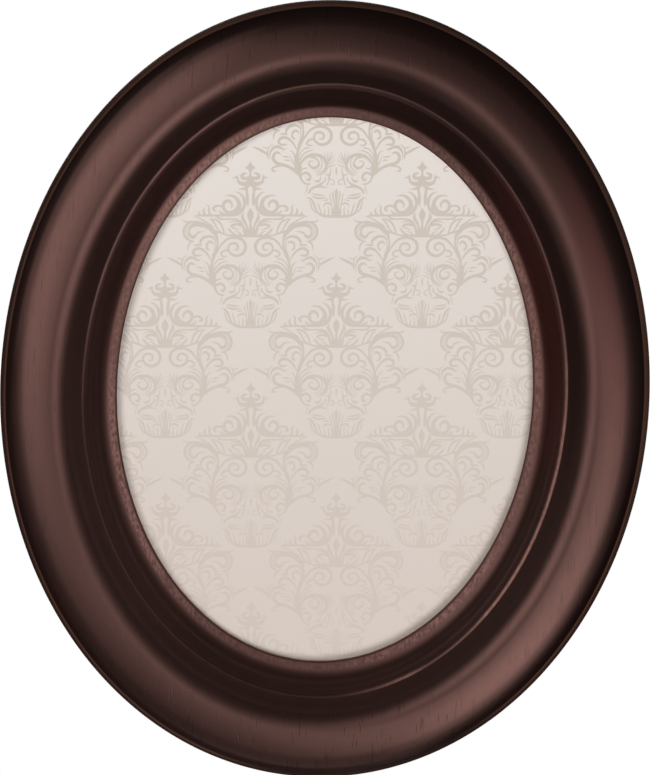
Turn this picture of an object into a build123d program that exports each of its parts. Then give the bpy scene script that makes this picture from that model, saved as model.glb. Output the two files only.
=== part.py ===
from build123d import *
import math
import os

# An oval picture frame that hangs on a wall. Lengths are in millimetres.
# X runs to the right, Z runs up, and the front of the frame faces -Y.
# The origin is the point of the wall where the upper hanging ring bears on its nail.

# The opening that shows the picture, and the moulding round it
sight_width = 174.0
sight_height = 228.5
moulding_width = 48.5
lip_thickness = 3.0
rebate_width = 3.5

# What lies in the rebate, from the front to the back
glass_thickness = 2.0
print_thickness = 0.3
card_thickness = 1.2
panel_thickness = 2.5
fitting_clearance = 0.5

# The moulded face from the sight edge outward: each zone's width and its rise
sight_round = 0.7
lip_width = 3.6
lip_rise = 0.6
cove_width = 4.7
cove_rise = 3.0
roll_width = 2.3
roll_rise = 2.15
neck_width = 1.9
neck_rise = 1.5
bead_width = 1.5
bead_rise = 0.75
step_width = 2.9
step_rise = 3.0
hollow_width = 2.2
hollow_rise = 2.3
shoulder_width = 8.5
shoulder_rise = 4.0

# The moulded face from the crown outward: each zone's width and its fall.
# The crown and the brow share the width that the other zones leave
crown_share = 0.6
crown_fall = 1.0
brow_fall = 2.9
nose_width = 2.1
nose_fall = 2.8
drop_width = 0.3
drop_fall = 1.0
quirk_width = 0.45
quirk_fall = 0.7
rim_width = 2.4
rim_fall = 6.5
back_round = 1.0

# Felt pads between the frame and the wall
pad_radius = 6.0
pad_thickness = 3.5
pad_inset = 12.5
pad_round = 0.6

# Wood screws with a domed head
screw_radius = 1.5
screw_length = 10.0
screw_tip_length = 3.0
screw_head_radius = 2.9
screw_head_height = 1.9
screw_head_edge = 0.5
pilot_clearance = 0.05

# Turn clips of spring steel: a flat foot, a bow over the joint, a nose and a finger lip
clip_thickness = 0.8
clip_pivot_inset = 9.0
clip_heel_radius = 5.5
clip_nose_radius = 3.6
clip_foot_length = 5.0
clip_ramp_length = 4.0
clip_bow_height = 1.2
clip_grip = 6.5
clip_nose_gap = 0.2
clip_lip_length = 4.5
clip_lip_height = 1.7
clip_bend_radius = 2.5
clip_hole_clearance = 0.1

# Hangers: a folded strap with a rolled loop, and a wire ring that swings in it
hook_inset = 9.0
ring_wire_radius = 0.8
ring_eye_width = 12.0
ring_eye_height = 10.0
ring_corner_radius = 2.0
ring_bow_radius = 6.8
strap_leaf_thickness = 0.6
strap_width = 9.0
strap_length = 20.0
strap_end_radius = 3.5
strap_hole_inset = 6.5
strap_crotch_radius = 1.2
strap_hole_clearance = 0.15
ring_bore_clearance = 0.08

# One overrun serves every cut
overrun = 1.0

# Where the fittings stand round the oval, as angles of the ellipse from its right-hand end,
# and where the two halves of the moulding's outline meet, clear of them
turn_clip_angles = (45, 135, 180, 225, 270, 315)
top_hanger_angle = 90
side_hanger_angle = 0
pad_angles = {"felt_pad_left": 247.5, "felt_pad_right": 292.5}
seam_angle = 22.5

# Derived sizes
sight_a = sight_width / 2
sight_b = sight_height / 2
rebate_depth = glass_thickness + print_thickness + card_thickness + panel_thickness
inner_rises = lip_rise + cove_rise + roll_rise + neck_rise + bead_rise
outer_rises = step_rise + hollow_rise + shoulder_rise
crown_height = rebate_depth + lip_thickness + inner_rises + outer_rises
insert_a = sight_a + rebate_width - fitting_clearance
insert_b = sight_b + rebate_width - fitting_clearance
ring_bar_distance = moulding_width - hook_inset - ring_eye_height - ring_wire_radius
ring_bore_radius = ring_wire_radius + ring_bore_clearance
strap_loop_radius = ring_bore_radius + strap_leaf_thickness
strap_thickness = strap_leaf_thickness * 2
centre_z = hook_inset - moulding_width - sight_b

# The plane of the moulding's back, seen from the front: its Z axis points at the viewer
back = Plane(origin=(0, -pad_thickness, centre_z), x_dir=(1, 0, 0), z_dir=(0, -1, 0))


def outward(angle):
    """The unit vector square to the sight edge at an angle of the ellipse."""
    along_x = sight_b * math.cos(math.radians(angle))
    along_z = sight_a * math.sin(math.radians(angle))
    return Vector(along_x, 0, along_z).normalized()


def station(angle, distance, height=0):
    """A plane on the frame's back, at a distance outside the sight edge and a height off the back.

    Its X axis points away from the picture, and its Z axis points at the wall.
    """
    edge_x = sight_a * math.cos(math.radians(angle))
    edge_z = sight_b * math.sin(math.radians(angle))
    on_edge = Vector(edge_x, height - pad_thickness, centre_z + edge_z)
    return Plane(origin=on_edge + outward(angle) * distance, x_dir=outward(angle), z_dir=(0, 1, 0))


def side_view(place):
    """The plane that looks at a fitting from its side: X runs towards the picture, Y off the back."""
    return Plane(origin=place.origin, x_dir=place.x_dir * -1, z_dir=(place.x_dir * -1).cross(place.z_dir))


clip_pivot_distance = rebate_width + clip_pivot_inset
clip_places = [station(angle, clip_pivot_distance) for angle in turn_clip_angles]
strap_hole_distance = ring_bar_distance - strap_length + strap_hole_inset
hanger_angles = {"top": top_hanger_angle, "side": side_hanger_angle}
strap_hole_places = [station(angle, strap_hole_distance) for angle in hanger_angles.values()]

os.makedirs("parts", exist_ok=True)


# The moulding: one profile swept round the two halves of the sight edge
with BuildPart() as moulding:
    with BuildLine(back) as sight_edge:
        for half_start in (seam_angle, seam_angle + 180):
            EllipticalCenterArc((0, 0), sight_a, sight_b, start_angle=half_start, arc_size=180)
    seam = station(seam_angle, 0)
    profile_plane = Plane(origin=seam.origin, x_dir=seam.x_dir, z_dir=seam.y_dir)
    with BuildSketch(profile_plane) as profile:
        with BuildLine():
            front = rebate_depth + lip_thickness
            edge = Line((0, rebate_depth), (0, front - sight_round))
            sight_arris = TangentArc(edge @ 1, (sight_round, front), tangent=edge % 1)
            lip = Line(sight_arris @ 1, (lip_width, front + lip_rise))
            cove = TangentArc(
                lip @ 1, lip @ 1 + Vector(cove_width, cove_rise), tangent=lip % 1
            )
            roll = TangentArc(
                cove @ 1, cove @ 1 + Vector(roll_width, roll_rise), tangent=cove % 1
            )
            neck = TangentArc(
                roll @ 1, roll @ 1 + Vector(neck_width, neck_rise), tangent=roll % 1
            )
            bead = TangentArc(
                neck @ 1, neck @ 1 + Vector(bead_width, bead_rise), tangent=neck % 1
            )
            inner_width = lip_width + cove_width + roll_width + neck_width + bead_width
            crown_start = inner_width + step_width + hollow_width + shoulder_width
            crown_top = Vector(crown_start, crown_height)
            shoulder = TangentArc(
                crown_top, crown_top - Vector(shoulder_width, shoulder_rise), tangent=(-1, 0)
            )
            hollow = TangentArc(
                shoulder @ 1, shoulder @ 1 - Vector(hollow_width, hollow_rise), tangent=shoulder % 1
            )
            TangentArc(hollow @ 1, bead @ 1, tangent=hollow % 1)
            outer_width = nose_width + drop_width + quirk_width + rim_width
            arch_width = moulding_width - crown_start - outer_width
            crown_width = arch_width * crown_share
            brow_width = arch_width - crown_width
            crown = TangentArc(
                crown_top, crown_top + Vector(crown_width, -crown_fall), tangent=(1, 0)
            )
            brow = TangentArc(
                crown @ 1, crown @ 1 + Vector(brow_width, -brow_fall), tangent=crown % 1
            )
            nose = TangentArc(
                brow @ 1, brow @ 1 + Vector(nose_width, -nose_fall), tangent=brow % 1
            )
            drop = Line(nose @ 1, nose @ 1 + Vector(drop_width, -drop_fall))
            quirk = TangentArc(
                drop @ 1, drop @ 1 + Vector(quirk_width, -quirk_fall), tangent=drop % 1
            )
            rim_end = quirk @ 1 + Vector(rim_width, -rim_fall)
            rim = TangentArc(rim_end, quirk @ 1, tangent=(0, 1))
            side = Line(rim @ 0, (moulding_width, back_round))
            back_arris = TangentArc(
                side @ 1, (moulding_width - back_round, 0), tangent=side % 1
            )
            Polyline(back_arris @ 1, (rebate_width, 0), (rebate_width, rebate_depth), edge @ 0)
        make_face()
    sweep(path=sight_edge.wire())
    with Locations(*[place.location for place in clip_places]):
        Hole(screw_radius + pilot_clearance, depth=screw_length - clip_thickness)
    with Locations(*[place.location for place in strap_hole_places]):
        Hole(screw_radius + pilot_clearance, depth=screw_length - strap_thickness)
moulding.part.label = "moulding"
export_step(moulding.part, "parts/moulding.step")
section_area = profile.sketch.area
print("moulding", moulding.part.volume, "crown height", crown_height, "section", section_area)


def oval_sheet(name, back_face, thickness):
    """A flat oval sheet in the rebate, its back face at a height in front of the frame's back."""
    with BuildPart() as sheet:
        with BuildSketch(back.offset(back_face)):
            Ellipse(insert_a, insert_b)
        extrude(amount=thickness)
    sheet.part.label = name
    export_step(sheet.part, f"parts/{name}.step")


# The stack in the rebate, from the back to the front
oval_sheet("back_panel", 0, panel_thickness)
oval_sheet("backing_card", panel_thickness, card_thickness)
oval_sheet("picture_print", panel_thickness + card_thickness, print_thickness)
oval_sheet("glass_pane", rebate_depth - glass_thickness, glass_thickness)


def turn_clip(name, place):
    """A turn clip on its place: the foot lies on the frame's back, the nose over the back panel."""
    middle = clip_thickness / 2
    nose_at = clip_pivot_inset + clip_grip
    tip_at = nose_at + clip_lip_length
    with BuildPart() as clip:
        with BuildSketch(side_view(place)):
            with BuildLine() as bow:
                FilletPolyline(
                    (-clip_heel_radius, middle),
                    (clip_foot_length, middle),
                    (clip_foot_length + clip_ramp_length, clip_bow_height + middle),
                    (nose_at, clip_nose_gap + middle),
                    (tip_at, clip_lip_height + middle),
                    radius=clip_bend_radius,
                )
            trace(bow.line, line_width=clip_thickness)
        extrude(amount=clip_heel_radius, both=True)
        with BuildSketch(place) as outline:
            Circle(clip_heel_radius)
            with Locations((clip_nose_radius - tip_at, 0)):
                Circle(clip_nose_radius)
            make_hull()
            Circle(screw_radius + clip_hole_clearance, mode=Mode.SUBTRACT)
        extrude(amount=clip_lip_height + clip_thickness + overrun, both=True, mode=Mode.INTERSECT)
    clip.part.label = name
    export_step(clip.part, f"parts/{name}.step")


for number, place in enumerate(clip_places, start=1):
    turn_clip(f"turn_clip_{number}", place)


# One screw standing on its point, the underside of its head at Z = 0
with BuildPart() as wood_screw:
    with BuildSketch(Plane.XZ):
        with BuildLine():
            tip = Line((0, -screw_length), (screw_radius, screw_tip_length - screw_length))
            shank = Line(tip @ 1, (screw_radius, 0))
            under = Line(shank @ 1, (screw_head_radius, 0))
            rim_line = Line(under @ 1, (screw_head_radius, screw_head_edge))
            crown_of_head = (0, screw_head_height)
            TangentArc(crown_of_head, rim_line @ 1, tangent=(1, 0))
            Line(crown_of_head, tip @ 0)
        make_face()
    revolve(axis=Axis.Z)


def screw_group(name, seats):
    """Screws that share one node, each its own solid on its own seat."""
    with BuildPart() as screws:
        with Locations(*[seat.location for seat in seats]):
            add(wood_screw.part)
    screws.part.label = name
    export_step(screws.part, f"parts/{name}.step")


screw_group("clip_screws", [place.offset(clip_thickness) for place in clip_places])
screw_group("hanger_screws", [place.offset(strap_thickness) for place in strap_hole_places])


def hanger_strap(name, angle):
    """A strap folded round the ring's straight side, both leaves flat on the frame's back."""
    place = station(angle, ring_bar_distance)
    with BuildPart() as strap:
        with BuildSketch(side_view(place)) as fold:
            with Locations((0, strap_loop_radius)):
                Circle(strap_loop_radius)
            Rectangle(strap_length, strap_thickness, align=(Align.MIN, Align.MIN))
            crotch = fold.vertices().sort_by_distance((strap_loop_radius, strap_thickness))[0]
            fillet(crotch, strap_crotch_radius)
            with Locations((0, strap_loop_radius)):
                Circle(ring_bore_radius, mode=Mode.SUBTRACT)
        extrude(amount=strap_width / 2, both=True)
        end_edges = strap.edges().filter_by(Axis.Y).sort_by_distance(
            place.origin - outward(angle) * strap_length
        )
        fillet(end_edges[:2], strap_end_radius)
        with Locations(station(angle, strap_hole_distance, strap_thickness).location):
            Hole(screw_radius + strap_hole_clearance, depth=strap_thickness + overrun)
    strap.part.label = name
    export_step(strap.part, f"parts/{name}.step")


def hanger_ring(name, angle):
    """A wire ring bent to a D: a straight side in the strap's loop, and a bow that takes the nail."""
    place = station(angle, ring_bar_distance, strap_loop_radius)
    half_width = ring_eye_width / 2 + ring_wire_radius
    side_length = ring_eye_height + ring_wire_radius * 2 - ring_bow_radius
    with BuildPart() as ring:
        with BuildLine(Plane(origin=place.origin, x_dir=place.y_dir, z_dir=place.z_dir * -1)) as wire:
            bar = Line((ring_corner_radius - half_width, 0), (half_width - ring_corner_radius, 0))
            corner = TangentArc(bar @ 1, (half_width, ring_corner_radius), tangent=bar % 1)
            leg = Line(corner @ 1, (half_width, side_length))
            bow = TangentArc(leg @ 1, (-half_width, side_length), tangent=leg % 1)
            other_leg = Line(bow @ 1, (-half_width, ring_corner_radius))
            TangentArc(other_leg @ 1, bar @ 0, tangent=other_leg % 1)
        with BuildSketch(Plane(origin=place.origin, z_dir=place.y_dir)):
            Circle(ring_wire_radius)
        sweep(path=wire.wire())
    ring.part.label = name
    export_step(ring.part, f"parts/{name}.step")
    print(name, ring.part.volume, "wire length", wire.wire().length)


for side_name, angle in hanger_angles.items():
    hanger_strap(f"hanger_strap_{side_name}", angle)
    hanger_ring(f"hanger_ring_{side_name}", angle)


def felt_pad(name, angle):
    """A round felt pad glued to the frame's back."""
    with BuildPart() as pad:
        with BuildSketch(station(angle, moulding_width - pad_inset)):
            Circle(pad_radius)
        extrude(amount=pad_thickness)
        fillet(pad.faces().sort_by(Axis.Y)[-1].edges(), pad_round)
    pad.part.label = name
    export_step(pad.part, f"parts/{name}.step")


for name, angle in pad_angles.items():
    felt_pad(name, angle)
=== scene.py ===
# %% [markdown]
# # An oval picture frame for a wall
# A broad oval moulding of dark stained wood holds a pane of glass, a printed sheet, a card and
# a back panel. Steel clips turn over the panel, and two wire rings behind carry the frame.
# The solids come from a packed model, and this notebook dresses them. Everything is in metres:
# X runs to the right, Z runs up the wall, and the front of the frame faces -Y.

# %% Load the packed frame
import cmath
import math

import bmesh
import bpy
import numpy as np
from mathutils import Matrix, Vector, noise
from mathutils.geometry import delaunay_2d_cdt


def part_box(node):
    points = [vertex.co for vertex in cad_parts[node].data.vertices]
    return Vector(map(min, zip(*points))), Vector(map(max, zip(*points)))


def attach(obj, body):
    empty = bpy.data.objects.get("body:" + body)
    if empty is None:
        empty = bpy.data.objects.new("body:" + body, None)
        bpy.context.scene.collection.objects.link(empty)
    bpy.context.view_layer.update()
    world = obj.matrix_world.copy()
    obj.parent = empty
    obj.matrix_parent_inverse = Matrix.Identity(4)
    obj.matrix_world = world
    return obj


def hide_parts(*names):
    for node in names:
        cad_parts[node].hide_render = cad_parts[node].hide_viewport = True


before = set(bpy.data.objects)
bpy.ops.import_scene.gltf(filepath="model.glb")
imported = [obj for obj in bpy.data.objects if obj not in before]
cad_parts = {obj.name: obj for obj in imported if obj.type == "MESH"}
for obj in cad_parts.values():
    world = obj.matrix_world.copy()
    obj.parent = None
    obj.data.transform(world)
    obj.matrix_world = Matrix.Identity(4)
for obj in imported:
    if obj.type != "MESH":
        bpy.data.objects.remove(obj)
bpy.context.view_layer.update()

# %% [markdown]
# ## The sizes that everything shares
# The pane of glass fills the rebate, so its box gives the middle of the oval. The edge of the
# opening lies 3 mm inside the pane's edge all round. From there each point of the moulding is
# named by two lengths: how far it stands outside the opening's edge, measured square to it,
# and how high it stands off the frame's flat back.

# %% The oval of the opening
mm = 0.001
pane_low, pane_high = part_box("glass_pane")
back_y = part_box("back_panel")[1].y
pane_cover = 3.0 * mm
opening_a = (pane_high.x - pane_low.x) / 2 - pane_cover
opening_b = (pane_high.z - pane_low.z) / 2 - pane_cover
oval_centre = (pane_low + pane_high) / 2


def around(angle, out, rise):
    """The point at an angle round the oval, so far outside the opening's edge and off the back."""
    edge = Vector((opening_a * math.cos(angle), 0, opening_b * math.sin(angle)))
    square = Vector((opening_b * math.cos(angle), 0, opening_a * math.sin(angle))).normalized()
    place = edge + square * out
    return Vector((oval_centre.x + place.x, back_y - rise, oval_centre.z + place.z))


print("opening", round(opening_a / mm, 2), "x", round(opening_b / mm, 2), "mm half-axes")

# %% [markdown]
# ## Writing finishes as sums
# A material is a small web of nodes. Wired by hand it is hard to read, so a few helpers turn it
# into ordinary sums. `Flow` wraps one socket, and adding or multiplying flows adds Math nodes.
# `NodeWeb` adds any other node, and `Finish` is the web of one material.

# %% Flow, a number between nodes
class Flow:
    """One number that flows between the nodes of a web."""

    def __init__(self, web, socket):
        self.web, self.socket = web, socket

    def sum(self, operation, *values):
        return self.web.node("ShaderNodeMath", {"operation": operation}, *values)

    def __abs__(self):
        return self.sum("ABSOLUTE", self)

    def over(self, other):
        return self.sum("MAXIMUM", self, other)

    def between(self, low, high):
        """0 below low, 1 above high, and a smooth ramp from one to the other."""
        ramp = {"interpolation_type": "SMOOTHSTEP"}
        return self.web.node("ShaderNodeMapRange", ramp, self, low, high)

    def band(self, start, full, fading, gone):
        """0 but for a band: it rises from start to full, and falls from fading to gone."""
        return self.between(start, full) * (1 - self.between(fading, gone))


for sign, operation in {"add": "ADD", "sub": "SUBTRACT", "mul": "MULTIPLY", "truediv": "DIVIDE",
                        "pow": "POWER"}.items():
    setattr(Flow, f"__{sign}__", lambda one, two, name=operation: one.sum(name, one, two))
    setattr(Flow, f"__r{sign}__", lambda one, two, name=operation: one.sum(name, two, one))
print("flows can be used with + - * / and **")

# %% NodeWeb, the nodes of a material or a world
class NodeWeb:
    """Adds nodes to a tree and links them."""

    def __init__(self, tree):
        self.tree = tree
        self.tree.nodes.clear()

    def feed(self, socket, value):
        if isinstance(value, Flow):
            self.tree.links.new(value.socket, socket)
        elif isinstance(value, (tuple, list, Vector)) and len(value) == 3 and socket.type == "RGBA":
            socket.default_value = (*value, 1.0)
        else:
            socket.default_value = value

    def node(self, kind, settings, *values, out=None, **named):
        """Adds a node: its settings first, then its sockets by order or by name."""
        node = self.tree.nodes.new(kind)
        for key, value in settings.items():
            setattr(node, key, value)
        for socket, value in zip(node.inputs, values):
            self.feed(socket, value)
        for name, value in named.items():
            self.feed(node.inputs[name.replace("_", " ")], value)
        if out is None:
            return Flow(self, next(s for s in node.outputs if s.enabled))
        return Flow(self, node.outputs[out])

    def place(self, scale=(1, 1, 1)):
        """Where the point is on the object, stretched by a scale, as a vector."""
        spot = self.node("ShaderNodeTexCoord", {}, out="Object")
        return self.vector("MULTIPLY", spot, scale)

    def along(self, direction, origin):
        """How far the point lies from an origin along a direction."""
        return self.vector("DOT_PRODUCT", self.vector("SUBTRACT", self.place(), origin), direction)

    def vector(self, operation, *values):
        return self.node("ShaderNodeVectorMath", {"operation": operation}, *values)

    def mix(self, share, one, other):
        """A colour between two colours."""
        node = self.tree.nodes.new("ShaderNodeMix")
        node.data_type = "RGBA"
        self.feed(node.inputs[0], share)
        self.feed(node.inputs[6], one)
        self.feed(node.inputs[7], other)
        return Flow(self, node.outputs[2])

    def noise(self, scale, detail=3.0, rough=0.55):
        """Cloudy noise, fine where the scale is high. Three scales stretch it."""
        scale = scale if isinstance(scale, tuple) else (scale,) * 3
        return self.node("ShaderNodeTexNoise", {}, Vector=self.place(scale), Scale=1.0,
                         Detail=detail, Roughness=rough)

    def mark(self, name):
        """A number kept at every point of the mesh under a name."""
        return self.node("ShaderNodeAttribute", {"attribute_name": name}, out="Fac")

    def bump(self, height, depth, strength=1.0):
        return self.node("ShaderNodeBump", {}, Strength=strength, Distance=depth, Height=height)


class Finish(NodeWeb):
    """A material. Socket names are written with _ for a space."""

    def __init__(self, name):
        self.material = bpy.data.materials.new(name)
        self.material.use_nodes = True
        super().__init__(self.material.node_tree)
        self.end = self.tree.nodes.new("ShaderNodeOutputMaterial")

    def shade(self, **named):
        """The Principled shader that makes the surface."""
        self.surface = self.node("ShaderNodeBsdfPrincipled", {}, **named)
        self.tree.links.new(self.surface.socket, self.end.inputs[0])
        return self.material

    def film(self, share, **named):
        """A second Principled shader that hides the first one by a share."""
        under = self.surface
        over = self.node("ShaderNodeBsdfPrincipled", {}, **named)
        self.surface = self.node("ShaderNodeMixShader", {}, share, under, over)
        self.tree.links.new(self.surface.socket, self.end.inputs[0])
        return self.material


print("a web can", ", ".join(name for name in vars(NodeWeb) if name[0] != "_"))

# %% Colours as they look on a screen
def colour(red, green, blue):
    """A colour picked as 0 to 255 on a screen, in the linear numbers that shaders use."""
    def linear(v):
        v = v / 255
        return v / 12.92 if v <= 0.04045 else ((v + 0.055) / 1.055) ** 2.4
    return (linear(red), linear(green), linear(blue))


print("mid grey on a screen is", round(colour(128, 128, 128)[0], 3), "in linear light")

# %% [markdown]
# ## The moulding
# A frame maker cuts this shape with a profiled cutter: a flat lip beside the picture, a cove,
# a roll and a neck, a fine bead, a step down, a hollow, and then a broad shoulder that rises to
# the crown and falls over a nose to the outer rim. The cutter's edge is a chain of arcs, each
# leaving in the direction in which the last one arrived. A curve with a bevel could sweep it, but
# its points wouldn't know how far out they lie, which the finish needs. So the same chain is laid
# out here with many points, and carried round the oval square to its edge. A mesh made this way
# also shades smoothly, which the flat facets of an imported solid don't.

# %% A chain of arcs
def arc(start, heading, end, steps):
    """Points of the arc from start to end that leaves start along heading, and its last heading."""
    start, heading, end = (complex(*v) for v in (start, heading, end))
    heading, chord = heading / abs(heading), end - start
    half_turn = cmath.phase(chord / heading)
    made = []
    for k in range(1, steps + 1):
        part = half_turn * k / steps
        reach = math.sin(part) / math.sin(half_turn) if half_turn else k / steps
        made.append(start + abs(chord) * heading * cmath.exp(1j * part) * reach)
    heading *= cmath.exp(2j * half_turn)
    return [(p.real, p.imag) for p in made], (heading.real, heading.imag)


def chain(start, heading, runs):
    """Arc after arc: each run is its width, its rise and its number of steps."""
    points, at = [start], start
    for width, rise, steps in runs:
        end = (at[0] + width, at[1] + rise)
        made, heading = arc(at, heading, end, steps)
        points += made
        at = end
    return points


print("a quarter of a circle ends at", chain((0, 0), (0, 1), [(1, 1, 8)])[-1])

# %% The cutter's profile
moulding_width = 48.5
rebate_width = 3.5
rebate_depth = 6.0
lip_front = 9.0
sight_round = 0.7
lip = (3.6, 0.6)
cove = (4.7, 3.0)
roll = (2.3, 2.15)
neck = (1.9, 1.5)
bead = (1.5, 0.75)
step = (2.9, 3.0)
hollow = (2.2, 2.3)
shoulder = (8.5, 4.0)
crown_share = 0.6
crown_fall = 1.0
nose = (2.1, 2.8)
drop = (0.3, 1.0)
quirk = (0.45, 0.7)
rim = (2.4, 6.5)
brow_fall = 2.9
back_round = 1.0

sight_arris = chain((0.0, lip_front - sight_round), (0, 1), [(sight_round, sight_round, 6)])
lip_end = (lip[0], lip_front + lip[1])
lip_heading = (lip[0] - sight_round, lip[1])
inner = chain(lip_end, lip_heading, [(*cove, 16), (*roll, 12), (*neck, 12), (*bead, 12)])
bead_end = inner[-1]
outer_zones = (step, hollow, shoulder)
crown_top = (bead_end[0] + sum(zone[0] for zone in outer_zones),
             bead_end[1] + sum(zone[1] for zone in outer_zones))
rising_runs = [(-shoulder[0], -shoulder[1], 24), (-hollow[0], -hollow[1], 12), (-step[0], -step[1], 14)]
rising = chain(crown_top, (-1, 0), rising_runs)
arch_width = moulding_width - crown_top[0] - nose[0] - drop[0] - quirk[0] - rim[0]
crown = (arch_width * crown_share, -crown_fall)
brow = (arch_width - crown[0], -brow_fall)
falling = chain(crown_top, (1, 0), [(*crown, 16), (*brow, 20), (nose[0], -nose[1], 14)])
drop_end = (falling[-1][0] + drop[0], falling[-1][1] - drop[1])
quirk_curve = chain(drop_end, (drop[0], -drop[1]), [(quirk[0], -quirk[1], 8)])
rim_end = (moulding_width, quirk_curve[-1][1] - rim[1])
rim_curve = chain(rim_end, (0, 1), [(-rim[0], rim[1], 14)])
back_arris = chain((moulding_width, back_round), (0, -1), [(-back_round, -back_round, 6)])
lip_run = chain((sight_round, lip_front), lip_heading, [(*lip_heading, 6)])[1:-1]
side_run = chain(rim_end, (0, -1), [(0, back_round - rim_end[1], 4)])[1:-1]
back_run = chain(back_arris[-1], (-1, 0), [(rebate_width - back_arris[-1][0], 0, 8)])[1:-1]
profile = ([(0.0, rebate_depth)] + sight_arris + lip_run + inner + rising[::-1][1:] + falling[1:]
           + [drop_end] + quirk_curve[1:] + rim_curve[::-1][1:] + side_run + back_arris
           + back_run + [(rebate_width, 0.0), (rebate_width, rebate_depth)])
print("profile", len(profile), "points, crown", round(crown_top[1], 2), "mm high")

# %% Carry the profile round the oval
def new_piece(name, points, faces, body="frame", smooth_under=math.radians(30)):
    """A mesh object that rides on a body of the frame, smooth but for its sharp corners."""
    mesh = bpy.data.meshes.new(name)
    mesh.from_pydata([tuple(p) for p in points], [], faces)
    mesh.validate()
    bm = bmesh.new()
    bm.from_mesh(mesh)
    bmesh.ops.recalc_face_normals(bm, faces=bm.faces)
    bm.to_mesh(mesh)
    bm.free()
    mesh.shade_smooth()
    mesh.set_sharp_from_angle(angle=smooth_under)
    piece = bpy.data.objects.new(name, mesh)
    bpy.context.scene.collection.objects.link(piece)
    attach(piece, body)
    return piece


def ring_faces(stations, count):
    """Quads between stations that close on themselves both round the oval and round the profile."""
    faces = []
    for i in range(stations):
        here, ahead = i * count, (i + 1) % stations * count
        for j in range(count):
            beside = (j + 1) % count
            faces.append((here + j, here + beside, ahead + beside, ahead + j))
    return faces


stations = 600
moulding_points = [around(2 * math.pi * i / stations, out * mm, rise * mm)
                   for i in range(stations) for out, rise in profile]
moulding = new_piece("oval_moulding", moulding_points, ring_faces(stations, len(profile)))
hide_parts("moulding")
flat_back = 0.05
marks = {
    "out": [out for out, _ in profile],
    "unstained": [rise < flat_back or (rise <= rebate_depth and out <= rebate_width)
                  for out, rise in profile],
}
for mark, values in marks.items():
    kept = moulding.data.attributes.new(mark, "FLOAT", "POINT")
    kept.data.foreach_set("value", np.tile(np.array(values, np.float32), stations))
print("moulding", len(moulding.data.vertices), "vertices")

# %% [markdown]
# ## Dark stained mahogany
# The wood runs up and down all round the oval. A wrapped picture of wood would bend with the
# ring, so the grain is noise in the object's own coordinates, stretched along Z, as if the oval
# had been cut from one board. Pores are short ticks that the stain has filled. They show most
# at the top and the foot, where the moulding crosses the fibres. The stain is nearly black, with
# painted shade that darkens it at the upper right. Most changes of tone follow two measures: how
# far out a point lies on the moulding, and how far it lies towards one side of the oval.

# %% Grain, pores and the first coat
def across(finish, degrees):
    """From -1 to 1 over the oval, towards a direction: 0 is the right, 90 is the top."""
    angle = math.radians(degrees)
    reach = (math.cos(angle) / (opening_a + moulding_width * mm), 0,
             math.sin(angle) / (opening_b + moulding_width * mm))
    return finish.along(reach, oval_centre)


top, painted_shade_side = 90, 35
wood = Finish("stained_mahogany")
out = wood.mark("out")
streaks = wood.noise((260, 260, 14), detail=4.0, rough=0.6)
fibre = wood.noise((1500, 1500, 60))
cloud = wood.noise((22, 22, 16), detail=2.0)
speckle = wood.noise((760, 760, 420), detail=4.0, rough=0.7).between(0.36, 0.66)
crosses_fibres = abs(across(wood, top)).between(0.72, 0.88)
pores = wood.noise((1500, 60, 95), detail=1.0).between(0.66, 0.72) * (0.3 + crosses_fibres * 0.7)

tone = 0.74 + streaks * 0.3 + fibre * 0.14 + (cloud - 0.5) * 0.3 - pores * 0.25
# Two copies of the stain: an unshaded one, and a darker one that paints shade towards the upper right.
unshaded_coat = wood.mix(tone.between(0.6, 1.2), colour(11, 6, 5), colour(32, 19, 17))
painted_shade_coat = wood.mix(tone.between(0.6, 1.2), colour(4, 2, 2), colour(14, 8, 7))
stain = wood.mix(across(wood, painted_shade_side).between(-0.75, 0.45), unshaded_coat, painted_shade_coat)
print("the first coat takes", len(wood.tree.nodes), "nodes")

# %% [markdown]
# The lip beside the picture was cut across the fibres and sanded least, so it is speckled, and
# a dark line runs along its edge. Painted light makes the lip lighter at the sides and on the
# diagonal from upper left to lower right, and darker at the top and the foot. Painted highlights
# lie on the fine bead at the lower right, the crown at the upper left and lower right, the brow
# at the left and, faintly, the shoulder. The right side took a redder stain. The rim has a thin
# brown coat, painted lighter towards the upper right and fainter at the foot, with a painted
# highlight line on its ridge. Such places could be painted by hand on an unwrapped mesh. Here
# each is a product instead: a band of the profile, times a side of the oval, and where it is
# ragged, times a noise.

# %% The lip, the painted highlights and the rim
# Where each band starts, is full, begins to fade and has gone, in mm from the opening's edge
bands = {
    "lip": (0.5, 1.1, 2.6, 4.4),
    "cove": (3.4, 5.2, 11.6, 12.6),
    "step": (13.9, 14.6, 18.6, 22.0),
    "shoulder": (18.5, 21.5, 26.0, 30.0),
    "red_crown": (20.0, 24.0, 34.0, 40.0),
    "crown": (27.0, 31.0, 39.5, 42.0),
    "brow": (36.5, 39.0, 41.5, 43.0),
}
on = {name: out.band(*edges) for name, edges in bands.items()}
light_diagonal, lip_light_sides, brow_side, shoulder_side = 128, 20, 147, 38
bead_highlight_side, red_side, foot, lit_side = -30, 15, 281, 60
ridge_out, bead_share = 46.05, 0.6

# Painted light and shade on the lip: darker at the top and the foot, lighter at the sides and on the
# diagonal.
lip_painted_shade = abs(across(wood, top)).between(0.56, 0.67)
lip_painted_light = abs(across(wood, lip_light_sides)).between(0.58, 0.66)
lip_painted_light = lip_painted_light.over(abs(across(wood, light_diagonal)).between(0.6, 0.68))
lip_share = on["lip"] * speckle * (0.55 + lip_painted_light * 0.45 - lip_painted_shade * 0.28)
stain = wood.mix(lip_share, stain, colour(104, 76, 71))
edge_line = 1 - out.between(0.45, 1.0)
stain = wood.mix(edge_line, stain, colour(26, 7, 8))

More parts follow.
